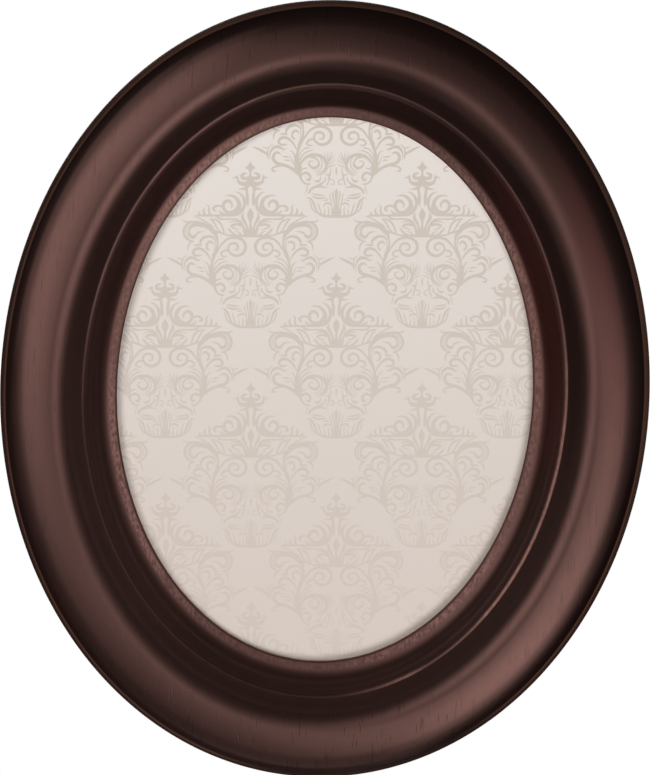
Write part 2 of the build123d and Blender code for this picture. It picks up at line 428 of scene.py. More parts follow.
bead_middle = lip[0] + cove[0] + roll[0] + neck[0] + bead[0] * bead_share
bead_top = 1 - abs(out - bead_middle).between(0.35, 0.9)
# Painted highlight: a lighter colour on the top of the bead at the lower right, broken by noise.
wear_and_highlight = across(wood, bead_highlight_side).between(0.45, 0.72) * bead_top * cloud.between(0.34, 0.5)
stain = wood.mix(wear_and_highlight * (0.5 + speckle * 0.5), stain, colour(112, 82, 73))
# Painted highlights: a lighter colour on the crown, the brow and the shoulder on the sides given below.
crown_painted_highlight = on["crown"] * abs(across(wood, light_diagonal)).between(0.84, 0.93) * 0.8
brow_painted_highlight = on["brow"] * across(wood, brow_side).between(0.8, 0.92)
shoulder_painted_highlight = on["shoulder"] * across(wood, shoulder_side).between(0.66, 0.78) * 0.25
stain = wood.mix(crown_painted_highlight.over(brow_painted_highlight).over(shoulder_painted_highlight), stain, colour(62, 44, 40))
redness = across(wood, red_side)
red_inside = redness.between(0.56, 0.7) * (1 - out.between(12.5, 14.5)) * 0.35
red_outside = redness.between(0.76, 0.9) * on["red_crown"] * 0.7
stain = wood.mix(red_inside.over(red_outside), stain, colour(52, 18, 18))

# Painted light and shade on the rim: its brown coat is lighter towards the upper right and fainter at
# the foot.
shaded_foot = across(wood, foot).between(0.84, 0.97)
rim_coat_and_light = wood.mix(across(wood, lit_side).between(0.0, 0.6), colour(56, 36, 30), colour(80, 56, 45))
rim_share = out.between(45.6, 46.6) * (0.6 + streaks * 0.5) * (1 - shaded_foot * 0.7)
stain = wood.mix(rim_share, stain, rim_coat_and_light)
# Painted highlight: a lighter line along the ridge by the rim, left out at the foot.
ridge = (1 - abs(out - ridge_out).between(0.25, 0.65)) * (1 - shaded_foot)
stain = wood.mix(ridge, stain, colour(80, 54, 45))
print("the whole stain takes", len(wood.tree.nodes), "nodes")

# %% [markdown]
# The back and the rebate were never stained, so they show pale wood with a ragged border. The
# front was polished to a satin, and a matt film dulls the pores and the strip inside the rim.
# In the grooves, more towards the top, and on parts of the crown, the brow and the bead, the
# film darkens the wood as painted shade. So there are two shaders, a satin one and a matt film
# over it, and the film's share says where it covers. Both have the red-brown sheen of the stain.

# %% Bare wood, satin and the matt film
satin_sheen, matt_sheen = (1.0, 0.51, 0.44), (1.0, 0.37, 0.29)
groove_shade_side, crown_side, low_left, low_right = 85, 62, 228, 322

bare = (wood.mark("unstained") + (fibre - 0.5) * 0.7).between(0.42, 0.58)
pale = wood.mix(streaks.between(0.3, 0.7), colour(150, 100, 70), colour(184, 134, 99))
pale = wood.mix(pores * 0.5, pale, colour(92, 56, 38))
skin = wood.mix(bare, stain, pale)

# Painted shade: the matt film darkens the cove and the step, more towards the top.
groove_painted_shade = across(wood, groove_shade_side).between(-0.55, 0.35) * 0.75 + 0.2
matt = (on["cove"] + on["step"]) * groove_painted_shade
# The first four places are painted shade on the crown at the upper right, the brow at the lower left
# and right, and the bead at the lower left.
matt_places = (
    out.between(24, 30) * across(wood, crown_side).between(0.45, 0.9) * 0.4,
    out.between(41.8, 43.6) * across(wood, low_left).between(0.2, 0.75),
    out.between(41.8, 43.6) * across(wood, low_right).between(0.76, 0.9),
    bead_top * across(wood, low_left).between(0.1, 0.6) * 0.75,
    bead_top * cloud.between(0.4, 0.6) * 0.3,
    out.between(44.4, 45.4) * 0.9,
    pores * 0.35,
)
for place in matt_places:
    matt = matt.over(place)

relief = fibre * 0.35 + streaks * 0.55 - pores * 2.0 - on["lip"] * speckle * 0.5
relief = wood.bump(relief * (1 - out.between(43.5, 45.0)), 0.05 * mm, 0.6)
satin = 0.44 + (fibre - 0.5) * 0.06 + edge_line * 0.1 + on["lip"] * speckle * 0.04 + bare * 0.25
shared = {"Base_Color": skin, "IOR": 1.5, "Normal": relief}
wood.shade(Roughness=satin, Specular_IOR_Level=0.8, Specular_Tint=satin_sheen, **shared)
mahogany = wood.film(matt * (1 - bare), Roughness=0.62 + fibre * 0.1, Specular_IOR_Level=0.22,
                     Specular_Tint=matt_sheen, **shared)
moulding.data.materials.append(mahogany)
print(mahogany.name, "takes", len(wood.tree.nodes), "nodes in all")

# %% [markdown]
# ## The printed sheet
# One warm grey ink on pale paper carries a damask of the traditional kind: a crowned bouquet of
# scrolls, the same on both sides of its middle, in columns that step down by half. One half of
# the bouquet is drawn as brush strokes on a grid. A stroke is a run of points with three numbers
# each: its place to the right of the middle, its place up, and the stroke's thickness there. A
# smooth curve goes through them. A painted texture would blur near by. So the strokes cut the
# face of the sheet into printed and bare pieces, and the print's edges stay sharp.

# %% Brush strokes of half a bouquet
finial = [
    [0,55.6,.2, 0,53,2, 0,50.8,5.2, 0,48.7,10.4, 0,46.6,4.2, 0,45,2.4, 0,42.4,1.8, 0,40.4,3, 0,38.6,7],
    [3.2,43.2,.6, 5.8,43,2.2, 8.3,41.2,3.2, 7.8,38.7,3.6, 4.6,38.1,3.2, 1,39,3],
    [12.6,41.8,.4, 12.9,39.6,2, 12.6,37,2.2, 11.2,34.2,3.2, 8.4,32.8,4, 4.6,32.6,4.8, 0,33.4,6.6],
    [12.4,39.8,2.2, 15,38.9,1.7, 18.4,38.6,.3],
    [0,39,8, 0,35,8, 0,31.5,8, 0,30,4],
    [2,31,3, 4.2,28.8,3.2, 8,27.6,1.9, 12.4,27.5,.3],
]
leaves = [
    [4.2,28.8,3, 3.7,25,2.6, 3,20,3, 2.9,15,3, 2.8,12,1.8, 2.6,10,.3],
    [15,25,.3, 11,23.4,1.6, 7.8,20.4,2.4, 5.9,16,3.6, 5.9,12,3, 7.4,7.6,3.4, 11,4,4, 16,1.9,3,
     22,1.6,2.6],
    [26,20.2,.3, 21,21.2,1.7, 16,19.8,2.6, 12.4,16,3.6, 11.2,11.5,4.4, 12.6,7.2,6, 17,4,5, 22.6,4.2,3.4,
     26.2,7.6,3.2, 27,12,3.2, 24.6,15.3,3.2, 21.4,15.6,3, 18.8,13.2,2.2, 18.3,10.6,1.5, 19.2,8.6,.4],
    [27.6,9.4,2, 31,10.9,1.9, 34.4,10.5,2.3, 36.8,8.6,2.6, 36.3,6.6,2.4, 34,5.6,1.1],
    [24,1.8,2.4, 28,3,2.4, 30.4,5.2,1.6, 31,6.6,.4],
    [44.3,11.8,.3, 42,10.6,1.3, 41,9.2,1.7, 41.5,6.4,1.9, 40.9,3.2,2.2, 38.6,1.6,2],
    [45.6,9.2,.4, 46.6,6.4,1.8, 46.2,3.4,2.4, 44.4,1.4,2],
    [50.6,5.2,.4, 51.3,3.2,2.2, 50.2,1.2,2.4],
    [16,1.6,2.6, 28,1.3,2.4, 40,1.1,2, 50,1.1,2, 56.6,.5,.3],
]
crown_leaves = [
    [33.4,.6,2, 31.4,-1.8,2.2, 26,-2.6,1.6, 19,-2.4,1.5, 13.6,-3,2, 9.4,-6,2.6, 7,-10.6,2.4,
     5.4,-16,3.4, 4.6,-19,3],
    [0,8.5,.2, 0,6,3.6, 0,3,6.4, 0,0,6.4, 0,-3,3.8, 0,-6,2.2, 0,-11,3, 0,-15,7, 0,-19.4,12],
    [6.4,4,.3, 8,1,2.4, 7.6,-2,3.2, 5.6,-5.4,2.6, 3.8,-9.4,2, 3,-14,3, 3,-19,4],
    [0,-19.2,3, 8,-19.2,2.6, 16,-19,2.2, 22,-18.6,1.7, 27,-17,1.7, 31,-15.6,2, 35,-14.8,2.6],
    [9,-9,2.6, 12.6,-7.6,2.6, 16.5,-8,2.6, 19,-9.4,2, 19.2,-11,.5],
    [9.4,-6.4,2, 13,-4.8,1.5, 17.4,-4.8,1.3, 21.6,-6.2,.3],
    [10.4,-13.3,.3, 14,-12.3,1.1, 18.2,-10.6,1.7],
    [9.4,-18.4,2.2, 11.6,-15.8,1.3, 15.6,-14.2,.4],
    [13.4,-18.6,1.6, 17.4,-16.8,2, 20.6,-13.6,2.1, 22.4,-10.8,.5],
    [40.4,-1.9,.4, 36,-2.6,1.6, 32,-4.6,2, 29,-8,2, 27.4,-12,1.8, 26,-16.6,1.2],
    [40.4,-1.9,.4, 37.2,-4.6,1.8, 35,-8,1.7, 33,-12,1.5, 30,-15,.8],
]
horned_scroll = [
    [35.2,-17.6,3.4, 38.4,-13.2,4.4, 42.6,-10,4.4, 48,-8,5, 53,-7.4,5.2, 57.4,-8.8,3.6, 60.4,-12,2.2,
     61.1,-16,2, 59.6,-19.4,3.2, 57,-20.4,3.6, 54.6,-18.8,2.2, 53.4,-17.2,.6],
    [48,-6.4,2, 54,-5,1.6, 60,-5.8,2.4, 64.4,-9,2.6, 66.4,-13.5,2.5, 66,-18,2.3, 63.6,-21.8,2.4,
     60,-23.8,1.8, 56.2,-24.7,.3],
    [57,-7,.6, 61.4,-9.6,1, 63.6,-13.6,1.1, 63.3,-17.6,1.1, 61.2,-21.6,.5],
    [60,-5.4,2.2, 64,-5.2,1.8, 66.7,-4.2,1.2, 67.6,-1.8,.3],
    [45.4,-14.9,.3, 49,-15.1,1.1, 52.4,-16,1.9, 54.4,-18,1.6],
    [37,-10.6,1, 40,-8.6,2.4, 43.6,-6,1.6, 47,-3.6,1.4, 52,-1,1.1, 56.6,.4,.4],
]
stem = [
    [38,-13,4, 34.6,-17.4,3.6, 33,-23,2, 32.9,-28,2, 33.8,-33.6,2.4, 35.6,-39,2.2, 37.8,-44.4,2.4,
     39.2,-50,3, 38.8,-56,5.4, 38,-61,7.4, 37.2,-65.4,5.8, 36,-69.8,3, 34.2,-74.4,2, 31.4,-77.2,1.8,
     28,-78.2,1.8, 25.4,-77.8,.4],
    [36.8,-20.4,1, 35.2,-25.6,1, 35.4,-32,1.1, 37,-38.6,1.2, 38.6,-45,1.6],
    [37,-35,.3, 38,-40,1, 39,-46,1.4],
    [35,-23.6,1.4, 37,-21,2.2, 41,-19.6,2.4, 46,-20.6,2.9, 49.3,-23.6,2.8, 50,-26.6,1.8, 49,-28.8,.6],
    [37,-27.8,.5, 38.6,-25.5,2, 41,-25,2.5, 43.2,-27,2.2, 43.9,-30,1.8, 42.8,-32.4,2.1, 40.4,-33.2,.8],
    [48.6,-29,.6, 51,-28.4,2, 54,-28.2,1.7, 57,-28.8,.3],
    [55.6,-24.8,.3, 58.5,-25.2,1.8, 61,-27,1.8, 62.3,-30.6,1.5, 62.2,-34.4,.3],
    [39.6,-44,1, 41.6,-39.4,1.7, 45.6,-34.6,2.2, 50,-31.9,2.8, 54.2,-32,3.1, 57,-34.6,2.7,
     56.8,-37.4,2.4, 54.4,-39,2.4, 51,-38.6,1.7, 48.6,-38.9,.3],
    [46.6,-45,.4, 43.6,-46,1.2, 41.7,-49.6,1.6, 41,-54,1.6, 40.4,-59,2],
    [45.8,-50,.4, 44,-54,1, 42,-59,1.6],
    [49.6,-42,.3, 52,-43.8,1.6, 55.5,-41.8,2.4, 60,-40.8,3, 63.4,-42.8,2.8, 65.4,-46,1.8, 66.2,-50,1,
     65.4,-54.6,.3],
    [55,-48.6,.4, 57.8,-46.7,2.2, 60.6,-47.2,2.8, 62.6,-50,3, 62.4,-53.6,3.2, 59.6,-57,3.4,
     54,-58.6,3.2, 48,-60.6,3, 42,-64,3.4, 38,-68,3],
    [52,-59.6,1, 57,-60,1.8, 61.4,-60.9,1.8, 64,-63,1.8, 62.6,-65.1,1.9, 59,-64.7,.4],
    [46,-51.2,.3, 50,-50.9,1.6, 54,-50.4,.8],
    [45.4,-54.8,.3, 48.6,-54.3,1.7, 51.6,-54.2,.3],
    [68,-52,.3, 68.6,-48.6,2, 73,-45.6,2.6, 77.4,-43.3,2.4, 80.6,-41.8,1.5, 83.6,-40.2,.3],
    [62.6,-38.4,.3, 66.4,-40.4,1.1, 68.2,-44.6,1.2, 68.2,-50,1.6, 67.6,-54,.3],
    [66.6,-42.6,.8, 70,-42,1.3, 74,-40.8,.3],
]
volutes = [
    [34,-36,1.6, 30.4,-30,1.8, 26.5,-25,2.2, 22,-22,2.4, 16,-20.9,2.6, 10,-22,2.8, 6.3,-25.4,3,
     4.9,-30,3, 6.1,-34.6,3, 9.6,-37.8,3, 14,-39,2.8, 18.4,-37.6,2.6, 21.4,-34.6,2.2, 22.2,-31,2,
     20.6,-27.8,2.2, 17,-26.4,2.5, 13.6,-27.6,2.2, 12.3,-30.6,2.2, 13.8,-33,1.9, 17.6,-33.2,.5],
    [22.2,-34,1.4, 25,-33.6,2, 28,-35,2, 29.3,-37.4,1.8, 27.8,-39.4,1.6, 25,-39.7,1.5, 23.2,-39,.3],
    [26,-42,.3, 29,-42.2,1.6, 32.4,-43.4,1.2, 36,-47.6,1.2, 38,-53,1.6],
    [22,-44.5,.3, 26.6,-45,1.2, 31,-47,1.5, 34,-50,1.5, 36.4,-54,2],
    [37,-60,2, 34,-55.4,2.6, 30,-51.4,3.2, 25,-49.4,3.6, 19,-49.2,3.4, 14,-51,3.2, 11,-54.8,3.2,
     10,-59,2.6, 11.4,-63,1.8, 15,-66,1.4, 20.4,-67.4,.4],
    [25.6,-51.4,1.4, 20.6,-52.4,1.8, 17.6,-56,1.8, 18,-60,2.6, 21.6,-62.1,3.2, 25.4,-60.6,2.2,
     27.5,-57.4,1.4, 25.4,-55.1,1.2, 22.6,-55.4,.6],
    [16.4,-51,1, 14.2,-56,1.1, 14.8,-61,1.1, 17.4,-64.4,1, 22,-65.8,.3],
    [8.6,-61,1.4, 11,-65.6,1.5, 15.4,-68.4,1.4, 20.4,-69,.3],
    [28.4,-62,.4, 32,-62.6,1.5, 36,-64.8,1.6],
    [36,-70.6,1.6, 33.6,-68,2.2, 30,-66.8,2.6, 26.8,-68.7,2.5, 26,-72,2.5, 28,-74.1,2.8, 30.2,-72.6,.6],
    [15.6,-69.6,.6, 15.8,-73,1.3, 17.6,-75,2.2, 20,-75.2,2.3, 21.8,-74.4,.4],
    [9.6,-60,2, 7.6,-54,1.6, 5,-49,1, 4.4,-45.6,.3],
    [9,-54,1.4, 8.4,-49,1, 8.4,-45.4,.3],
    [10.6,-53,1.2, 11.2,-49.6,.8, 12,-45.6,.3],
    [7.8,-55.6,1.2, 4.4,-52.6,1, 1.6,-49,.3],
    [7.6,-58.4,1.2, 4,-56,1, .8,-53,.3],
    [8,-61,1.2, 4,-59.6,1.2, .6,-58.6,.4],
    [0,-61.5,1.4, 0,-66,1.8, 0,-69.6,.3],
    [5.6,-61.6,.5, 5.8,-66,1.2, 7,-70,2, 7.6,-74.6,1.3, 9,-78.6,1.4, 9.6,-80,.3],
    [7,-70,2, 9.4,-68.6,1.2, 11.4,-68.4,.3],
    [10.5,-70.6,.4, 10.9,-73.4,1.6, 11,-75.8,.4],
    [7.2,-73,.8, 4,-73.5,1.2, 2,-75.8,1.1, 2.9,-78.2,1.1, 5,-78.2,.9, 5,-76.4,.4],
]
bowl = [
    [11.6,-74.6,.8, 14.4,-77.6,2.2, 18,-79.8,3.2, 22.4,-81.4,2.5, 25.6,-83.6,2.5, 27,-86.4,2.2,
     26.6,-88,.6],
    [8.6,-81.9,.3, 13,-80.9,1.8, 18,-80.2,2.2],
    [28.4,-79,.5, 29.4,-83,1.2, 30.6,-88.4,.3],
    [10.6,-89.7,.3, 15,-89.1,1.4, 20,-88.5,1.8, 24,-87.2,.8],
    [9.4,-91.6,.3, 14,-92,1.8, 19,-91.9,2.2, 22.6,-90.6,1.7, 24.4,-88.8,.5],
    [30,-91.6,.3, 26.6,-92,1.5, 24,-94.4,2.2, 22.1,-98,2.4, 20.8,-102,2, 19.2,-106,2.2, 15.6,-108.6,2.4,
     10,-110,2.6, 0,-110.2,2.8],
    [26.8,-93.4,.5, 25.3,-98,1.4, 24,-102.6,1.4, 20.6,-106.6,1],
    [18.6,-96,.5, 17.2,-100,1.3, 16.2,-104,1.4, 14.4,-108,1.2],
    [5.4,-99.4,.8, 7,-97.3,1.8, 10,-97.2,1.8, 12.4,-99,1.2, 12.6,-101.4,.3],
    [7.6,-93.4,.4, 10.4,-94,1.4, 13.6,-94.8,.4],
    [0,-82.3,.3, 0,-85.4,3, 0,-89,3.2, 0,-95,2, 0,-102,2.4, 0,-109,8],
    [3,-84.4,.3, 3.7,-88,1.5, 2.9,-92,1.5, 2,-97,1.3, 1.8,-103,2, 2.4,-109,4],
    [6,-86.8,.3, 6.6,-89.6,1, 5.4,-94,1.2, 4.2,-100,1.2, 4,-108,2.4],
    [8.6,-99.6,.4, 7.6,-103.6,1.2, 8,-108.8,1.6],
    [11.4,-102,.3, 11.6,-105.4,1.2, 12,-108.6,1.4],
]
half_bouquet = finial + leaves + crown_leaves + horned_scroll + stem + volutes + bowl
print("half a bouquet has", len(half_bouquet), "strokes")


# %% From a stroke to a ribbon
def smooth_run(stroke, per=3):
    """A smooth curve through a stroke's points, with the thickness carried along."""
    points = np.reshape(stroke, (-1, 3))
    points = np.array([points[0], *points, points[-1]])
    run = []
    for a, b, c, d in zip(points, points[1:], points[2:], points[3:]):
        for t in np.arange(per) / per:
            bend = (2 * a - 5 * b + 4 * c - d) * t ** 2 + (3 * b - a - 3 * c + d) * t ** 3
            run.append((2 * b + (c - a) * t + bend) / 2)
    return np.array([*run, points[-1]])


def ribbon(run, thinnest=0.15):
    """The two edges of a stroke, each half its thickness from the curve."""
    ahead = np.gradient(run[:, :2], axis=0)
    square = np.stack((-ahead[:, 1], ahead[:, 0]), axis=1) / np.linalg.norm(ahead, axis=1)[:, None]
    half = np.maximum(run[:, 2:], thinnest) / 2
    return run[:, :2] + square * half, run[:, :2] - square * half


ribbons = [ribbon(smooth_run(stroke)) for stroke in half_bouquet]
print("the longest ribbon has", max(len(one) for one, _ in ribbons), "points a side")

# %% Repeat the bouquet over the sheet
print_low, print_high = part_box("picture_print")
sheet_half = ((print_high.x - print_low.x) / 2 / mm, (print_high.z - print_low.z) / 2 / mm)
drawing_step, hairline = 0.4194, 1e-4
column_pitch, row_pitch = 171.1 * drawing_step, 220.8 * drawing_step
first_bouquet, pattern_lean = np.array((3.5, 26.7)), math.radians(2.8)
upright = np.array(((math.cos(pattern_lean), -math.sin(pattern_lean)),
                    (math.sin(pattern_lean), math.cos(pattern_lean))))


def on_sheet(points, side, column, row):
    """Points of the drawing, in mm from the middle of the oval."""
    drawn = points * (side, 1) * drawing_step + (column * column_pitch / 2, row * row_pitch / 2)
    return first_bouquet + drawn @ upright.T


edge_points, last_reach = 240, 0.998
around_sheet = np.linspace(0, 2 * math.pi, edge_points, endpoint=False)
corners = [Vector((sheet_half[0] * math.cos(t), sheet_half[1] * math.sin(t))) for t in around_sheet]
regions = [list(range(len(corners)))]
places = [(column, row) for column in range(-3, 4) for row in range(-4, 5) if (column + row) % 2 == 0]
for column, row in places:
    for side in (1, -1):
        for one_edge, other_edge in ribbons:
            p, q = on_sheet(one_edge, side, column, row), on_sheet(other_edge, side, column, row)
            if (np.hypot(p[:, 0] / sheet_half[0], p[:, 1] / sheet_half[1]) > last_reach).all():
                continue
            for k in range(len(p) - 1):
                for three in ((p[k], q[k], q[k + 1]), (p[k], q[k + 1], p[k + 1])):
                    a, b, c = (Vector(v) for v in three)
                    area = (b - a).cross(c - a)
                    if abs(area) > hairline:
                        regions.append([len(corners), len(corners) + 1, len(corners) + 2])
                        corners += [a, b, c] if area > 0 else [a, c, b]
cut = delaunay_2d_cdt(corners, [], regions, 1, hairline, True)
cut_points, cut_faces, found_in = cut[0], cut[2], cut[5]
kept = [k for k, owners in enumerate(found_in) if 0 in owners]
print("the sheet's face has", len(kept), "pieces, printed", sum(len(found_in[k]) > 1 for k in kept))

# %% Make the sheet
clear_of_glass = 0.03 * mm
sheet_front = print_low.y + clear_of_glass
sheet_points = [(oval_centre.x + p.x * mm, sheet_front, oval_centre.z + p.y * mm) for p in cut_points]
sheet_mesh = bpy.data.meshes.new("damask_sheet")
sheet_mesh.from_pydata(sheet_points, [], [cut_faces[k] for k in kept])
ink = sheet_mesh.attributes.new("ink", "FLOAT", "FACE")
ink.data.foreach_set("value", [float(len(found_in[k]) > 1) for k in kept])
bm = bmesh.new()
bm.from_mesh(sheet_mesh)
bmesh.ops.delete(bm, geom=[v for v in bm.verts if not v.link_faces], context="VERTS")
border = [e for e in bm.edges if e.is_boundary]
side_wall = bmesh.ops.extrude_edge_only(bm, edges=border)["geom"]
behind = [v for v in side_wall if isinstance(v, bmesh.types.BMVert)]
bmesh.ops.translate(bm, verts=behind, vec=(0, print_high.y - sheet_front, 0))
rear_edge = [e for e in side_wall if isinstance(e, bmesh.types.BMEdge) and e.is_boundary]
bmesh.ops.edgeloop_fill(bm, edges=rear_edge)
bmesh.ops.recalc_face_normals(bm, faces=bm.faces)
bm.to_mesh(sheet_mesh)
bm.free()
sheet = bpy.data.objects.new("damask_sheet", sheet_mesh)
bpy.context.scene.collection.objects.link(sheet)
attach(sheet, "frame")
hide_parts("picture_print")
print("the sheet is", round((print_high.y - sheet_front) / mm, 2), "mm thick")

# %% Paper and ink
paper_high, paper_low = colour(230, 223, 217), colour(209, 196, 187)
damask_ink = (0.766, 0.715, 0.653)
fade_start, fade_bend, faintest = -0.95, 1.45, 0.27


def printed_damask():
    """Paper and ink: towards the foot the paper is darker and the print fainter."""
    paper = Finish("printed_damask")
    lean = Vector((-math.sin(pattern_lean), 0, math.cos(pattern_lean)))
    up = paper.along(lean / opening_b, oval_centre)
    fade = ((up - fade_start) / (1 - fade_start)).over(0.0) ** fade_bend
    fibres = paper.noise(1400)
    clouds = paper.noise(60, detail=2.0)
    bare = paper.mix(fade, paper_low, paper_high)
    bare = paper.mix((fibres - 0.5).between(-0.3, 0.3) * 0.04, bare, colour(160, 140, 124))
    inked = paper.vector("MULTIPLY", bare, damask_ink)
    printed = paper.mark("ink") * (faintest + fade * (1 - faintest)) * (0.93 + clouds * 0.14)
    return paper.shade(
        Base_Color=paper.mix(printed, bare, inked),
        Roughness=0.62 + fibres * 0.12,
        Specular_IOR_Level=0.3,
        Normal=paper.bump(fibres, 0.02 * mm, 0.5),
    )


sheet.data.materials.append(printed_damask())
print("ink lets through", damask_ink, "of red, green and blue")

# %% [markdown]
# ## Glass in front of the sheet
# The pane from the model is right as it is, so it only gets its finish. Clean picture glass is
# almost unseen from the front, so the finish lets nearly all light through, and keeps a thin
# gloss with faint wiping marks.

# %% Clear glass
def wiped_glass():
    glass = Finish("wiped_glass")
    wiping = glass.noise((9, 9, 30), detail=4.0, rough=0.65)
    dust = glass.noise(2200, detail=1.0).between(0.72, 0.8)
    return glass.shade(
        Base_Color=glass.mix(dust, colour(236, 240, 238), colour(255, 255, 255)),
        Roughness=0.03 + wiping.between(0.45, 0.8) * 0.07 + dust * 0.3,
        IOR=1.5,
        Alpha=0.025 + wiping.between(0.5, 0.9) * 0.01 + dust * 0.05,
    )


def dress(node, finish):
    """Gives every slot of a packed node one finish."""
    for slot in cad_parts[node].material_slots:
        slot.material = finish
    print(node, "wears", finish.name)


dress("glass_pane", wiped_glass())

# %% [markdown]
# ## The card and the back panel
# Behind the sheet lies a grey card, made of pulped fibres with flecks of old print. The panel
# that closes the back is hardboard: brown wood fibre pressed hot against a screen, so the face
# towards the wall keeps the screen's fine crossed marks. Both keep the model's own shape.

# %% Grey card and pressed fibreboard
def pulp_card():
    card = Finish("pulp_card")
    fibres = card.noise(1800, detail=4.0)
    flecks = card.noise(700, detail=2.0).between(0.66, 0.72)
    grey = card.mix(fibres.between(0.3, 0.7), colour(150, 146, 140), colour(172, 168, 161))
    return card.shade(
        Base_Color=card.mix(flecks, grey, colour(92, 88, 86)),
        Roughness=0.88 + fibres * 0.08,
        Normal=card.bump(fibres, 0.03 * mm, 0.6),
    )


def screen_backed_hardboard():
    board = Finish("screen_backed_hardboard")
    fibres = board.noise(1100, detail=5.0, rough=0.7)
    clouds = board.noise(30)
    one_way, other_way = (board.node("ShaderNodeTexWave", {"bands_direction": way},
                                     Vector=board.place(), Scale=190.0) for way in "XZ")
    screen = one_way.over(other_way)
    brown = board.mix(clouds.between(0.3, 0.7), colour(126, 92, 62), colour(146, 110, 77))
    brown = board.mix(fibres.between(0.42, 0.7) * 0.5, brown, colour(88, 62, 42))
    wear_and_highlight = board.noise((14, 14, 90)).between(0.62, 0.78)
    return board.shade(
        Base_Color=board.mix(wear_and_highlight * 0.35, brown, colour(166, 134, 102)),
        Roughness=0.72 + fibres * 0.14,
        Normal=board.bump(screen * 0.6 + fibres * 0.8, 0.08 * mm, 0.7),
    )


dress("backing_card", pulp_card())
dress("back_panel", screen_backed_hardboard())

# %% [markdown]
# ## Clips, hangers and their metals
# The turn clips are punched from spring steel strip and barrel plated with zinc, which leaves a
# spangled grey with a faint yellow bloom and fine tumbling scratches. The straps are brass plated
# and dulled by age, and the rings are bright drawn wire. The model's shapes are kept, because
# punched strip and wire have nothing finer on them. One recipe serves all these metals: small
# cells for the grains, cloudy noise for the stains and stretched noise for the scratches.

# %% Plated metals
def plated(name, bright, dull, bloom, roughness, scratched=0.5):
    """A plated metal: grains between two tones, stains of a third, and bright scratches."""
    metal = Finish(name)
    bright, dull, bloom = (colour(*tone) for tone in (bright, dull, bloom))
    spangle = metal.node("ShaderNodeTexVoronoi", {"feature": "F1"}, Vector=metal.place((900, 900, 900)),
                         Scale=1.0, out="Color")
    grain = metal.vector("DOT_PRODUCT", spangle, (0.33, 0.33, 0.34))
    stains = metal.noise(160, detail=4.0, rough=0.6)
    scratches = metal.noise((300, 5200, 2600), detail=2.0).between(0.62, 0.72)
    skin = metal.mix(grain, dull, bright)
    skin = metal.mix(stains.between(0.5, 0.75) * 0.5, skin, bloom)
    return metal.shade(
        Base_Color=metal.mix(scratches * scratched, skin, bright),
        Metallic=1.0,
        Roughness=roughness + grain * 0.08 + stains.between(0.4, 0.7) * 0.14 - scratches * 0.06,
        Normal=metal.bump(grain * 0.4 - scratches * 0.7, 0.02 * mm, 0.5),
    )


zinc = plated("zinc_plated_spring", (196, 198, 200), (158, 162, 165), (182, 172, 144), 0.4)
brass = plated("brass_plated_strap", (206, 178, 122), (176, 146, 92), (134, 112, 78), 0.38)
wire = plated("drawn_wire", (208, 186, 134), (174, 150, 98), (128, 112, 84), 0.32, 0.8)
for number in range(1, 7):
    dress(f"turn_clip_{number}", zinc)
for side in ("top", "side"):
    dress(f"hanger_strap_{side}", brass)
    dress(f"hanger_ring_{side}", wire)

# %% [markdown]
# ## Wood screws
# The model keeps its screws plain, because a thread and a driver's cross are too fine for it. Each
# is turned here from the same outline, its thread is a ridge that climbs round the shank, and the
# cross is sunk into the dome. The model's own screws say where each one stands.

# %% Where the model's screws stand
def apart(node):
    """The boxes of the separate solids in one packed node."""
    bm = bmesh.new()
    bm.from_mesh(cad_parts[node].data)
    bmesh.ops.remove_doubles(bm, verts=bm.verts, dist=1e-6)
    left, boxes = set(bm.verts), []
    while left:
        reached, solid = [left.pop()], []
        while reached:
            vert = reached.pop()
            solid.append(vert.co.copy())
            nearby = {edge.other_vert(vert) for edge in vert.link_edges} & left
            left -= nearby
            reached += nearby
        boxes.append((Vector(np.min(solid, axis=0)), Vector(np.max(solid, axis=0))))
    bm.free()
    return sorted(boxes, key=lambda box: tuple(box[0]))


print("the clips turn on", len(apart("clip_screws")), "screws")

# %% The cross and the thread
head_radius, head_edge, head_dome = 2.9, 0.5, 1.9
cross_reach, cross_width, cross_depth = 1.75, 0.42, 1.05
narrower, shallower, cross_wall, cross_end = 0.35, 0.6, 0.16, 0.25
shank_radius, thread_root, thread_pitch, ridge_half = 1.5, 1.08, 1.3, 0.32
plain_neck, point_length, blunt_share = 0.8, 3.0, 0.06


def sunk(x, z):
    """How deep the driver's cross is under a point of the dome, in mm."""
    near, far = sorted((abs(x), abs(z)))
    share = far / cross_reach
    wall = 0.5 - (near - cross_width * (1 - narrower * share)) / cross_wall
    end = (cross_reach - far) / cross_end
    return min(max(wall, 0), 1) * min(max(end, 0), 1) * cross_depth * (1 - shallower * share)


def threaded(depth, angle, length):
    """The radius of the shank at a depth under the head, in mm."""
    if depth <= plain_neck:
        return shank_radius
    climb = (depth / thread_pitch + angle / (2 * math.pi)) % 1
    ridge = max(0.0, 1 - abs(climb - 0.5) / ridge_half)
    taper = max(min(1, (length - depth) / point_length), blunt_share)
    return (thread_root + (shank_radius - thread_root) * ridge) * taper


print("the cross is", cross_depth, "mm deep in a dome of", head_dome, "mm")

# %% Turn the screws
sides, dome_rings, thread_rings = 48, 26, 60


def turned_faces(rings, sides):
    """A fan round the first point, and quads from each ring of points to the next."""
    faces = [(0, 1 + k, 1 + (k + 1) % sides) for k in range(sides)]
    for ring in range(rings - 1):
        a = 1 + ring * sides
        faces += [(a + k, a + sides + k, a + sides + (k + 1) % sides, a + (k + 1) % sides)
                  for k in range(sides)]
    return faces


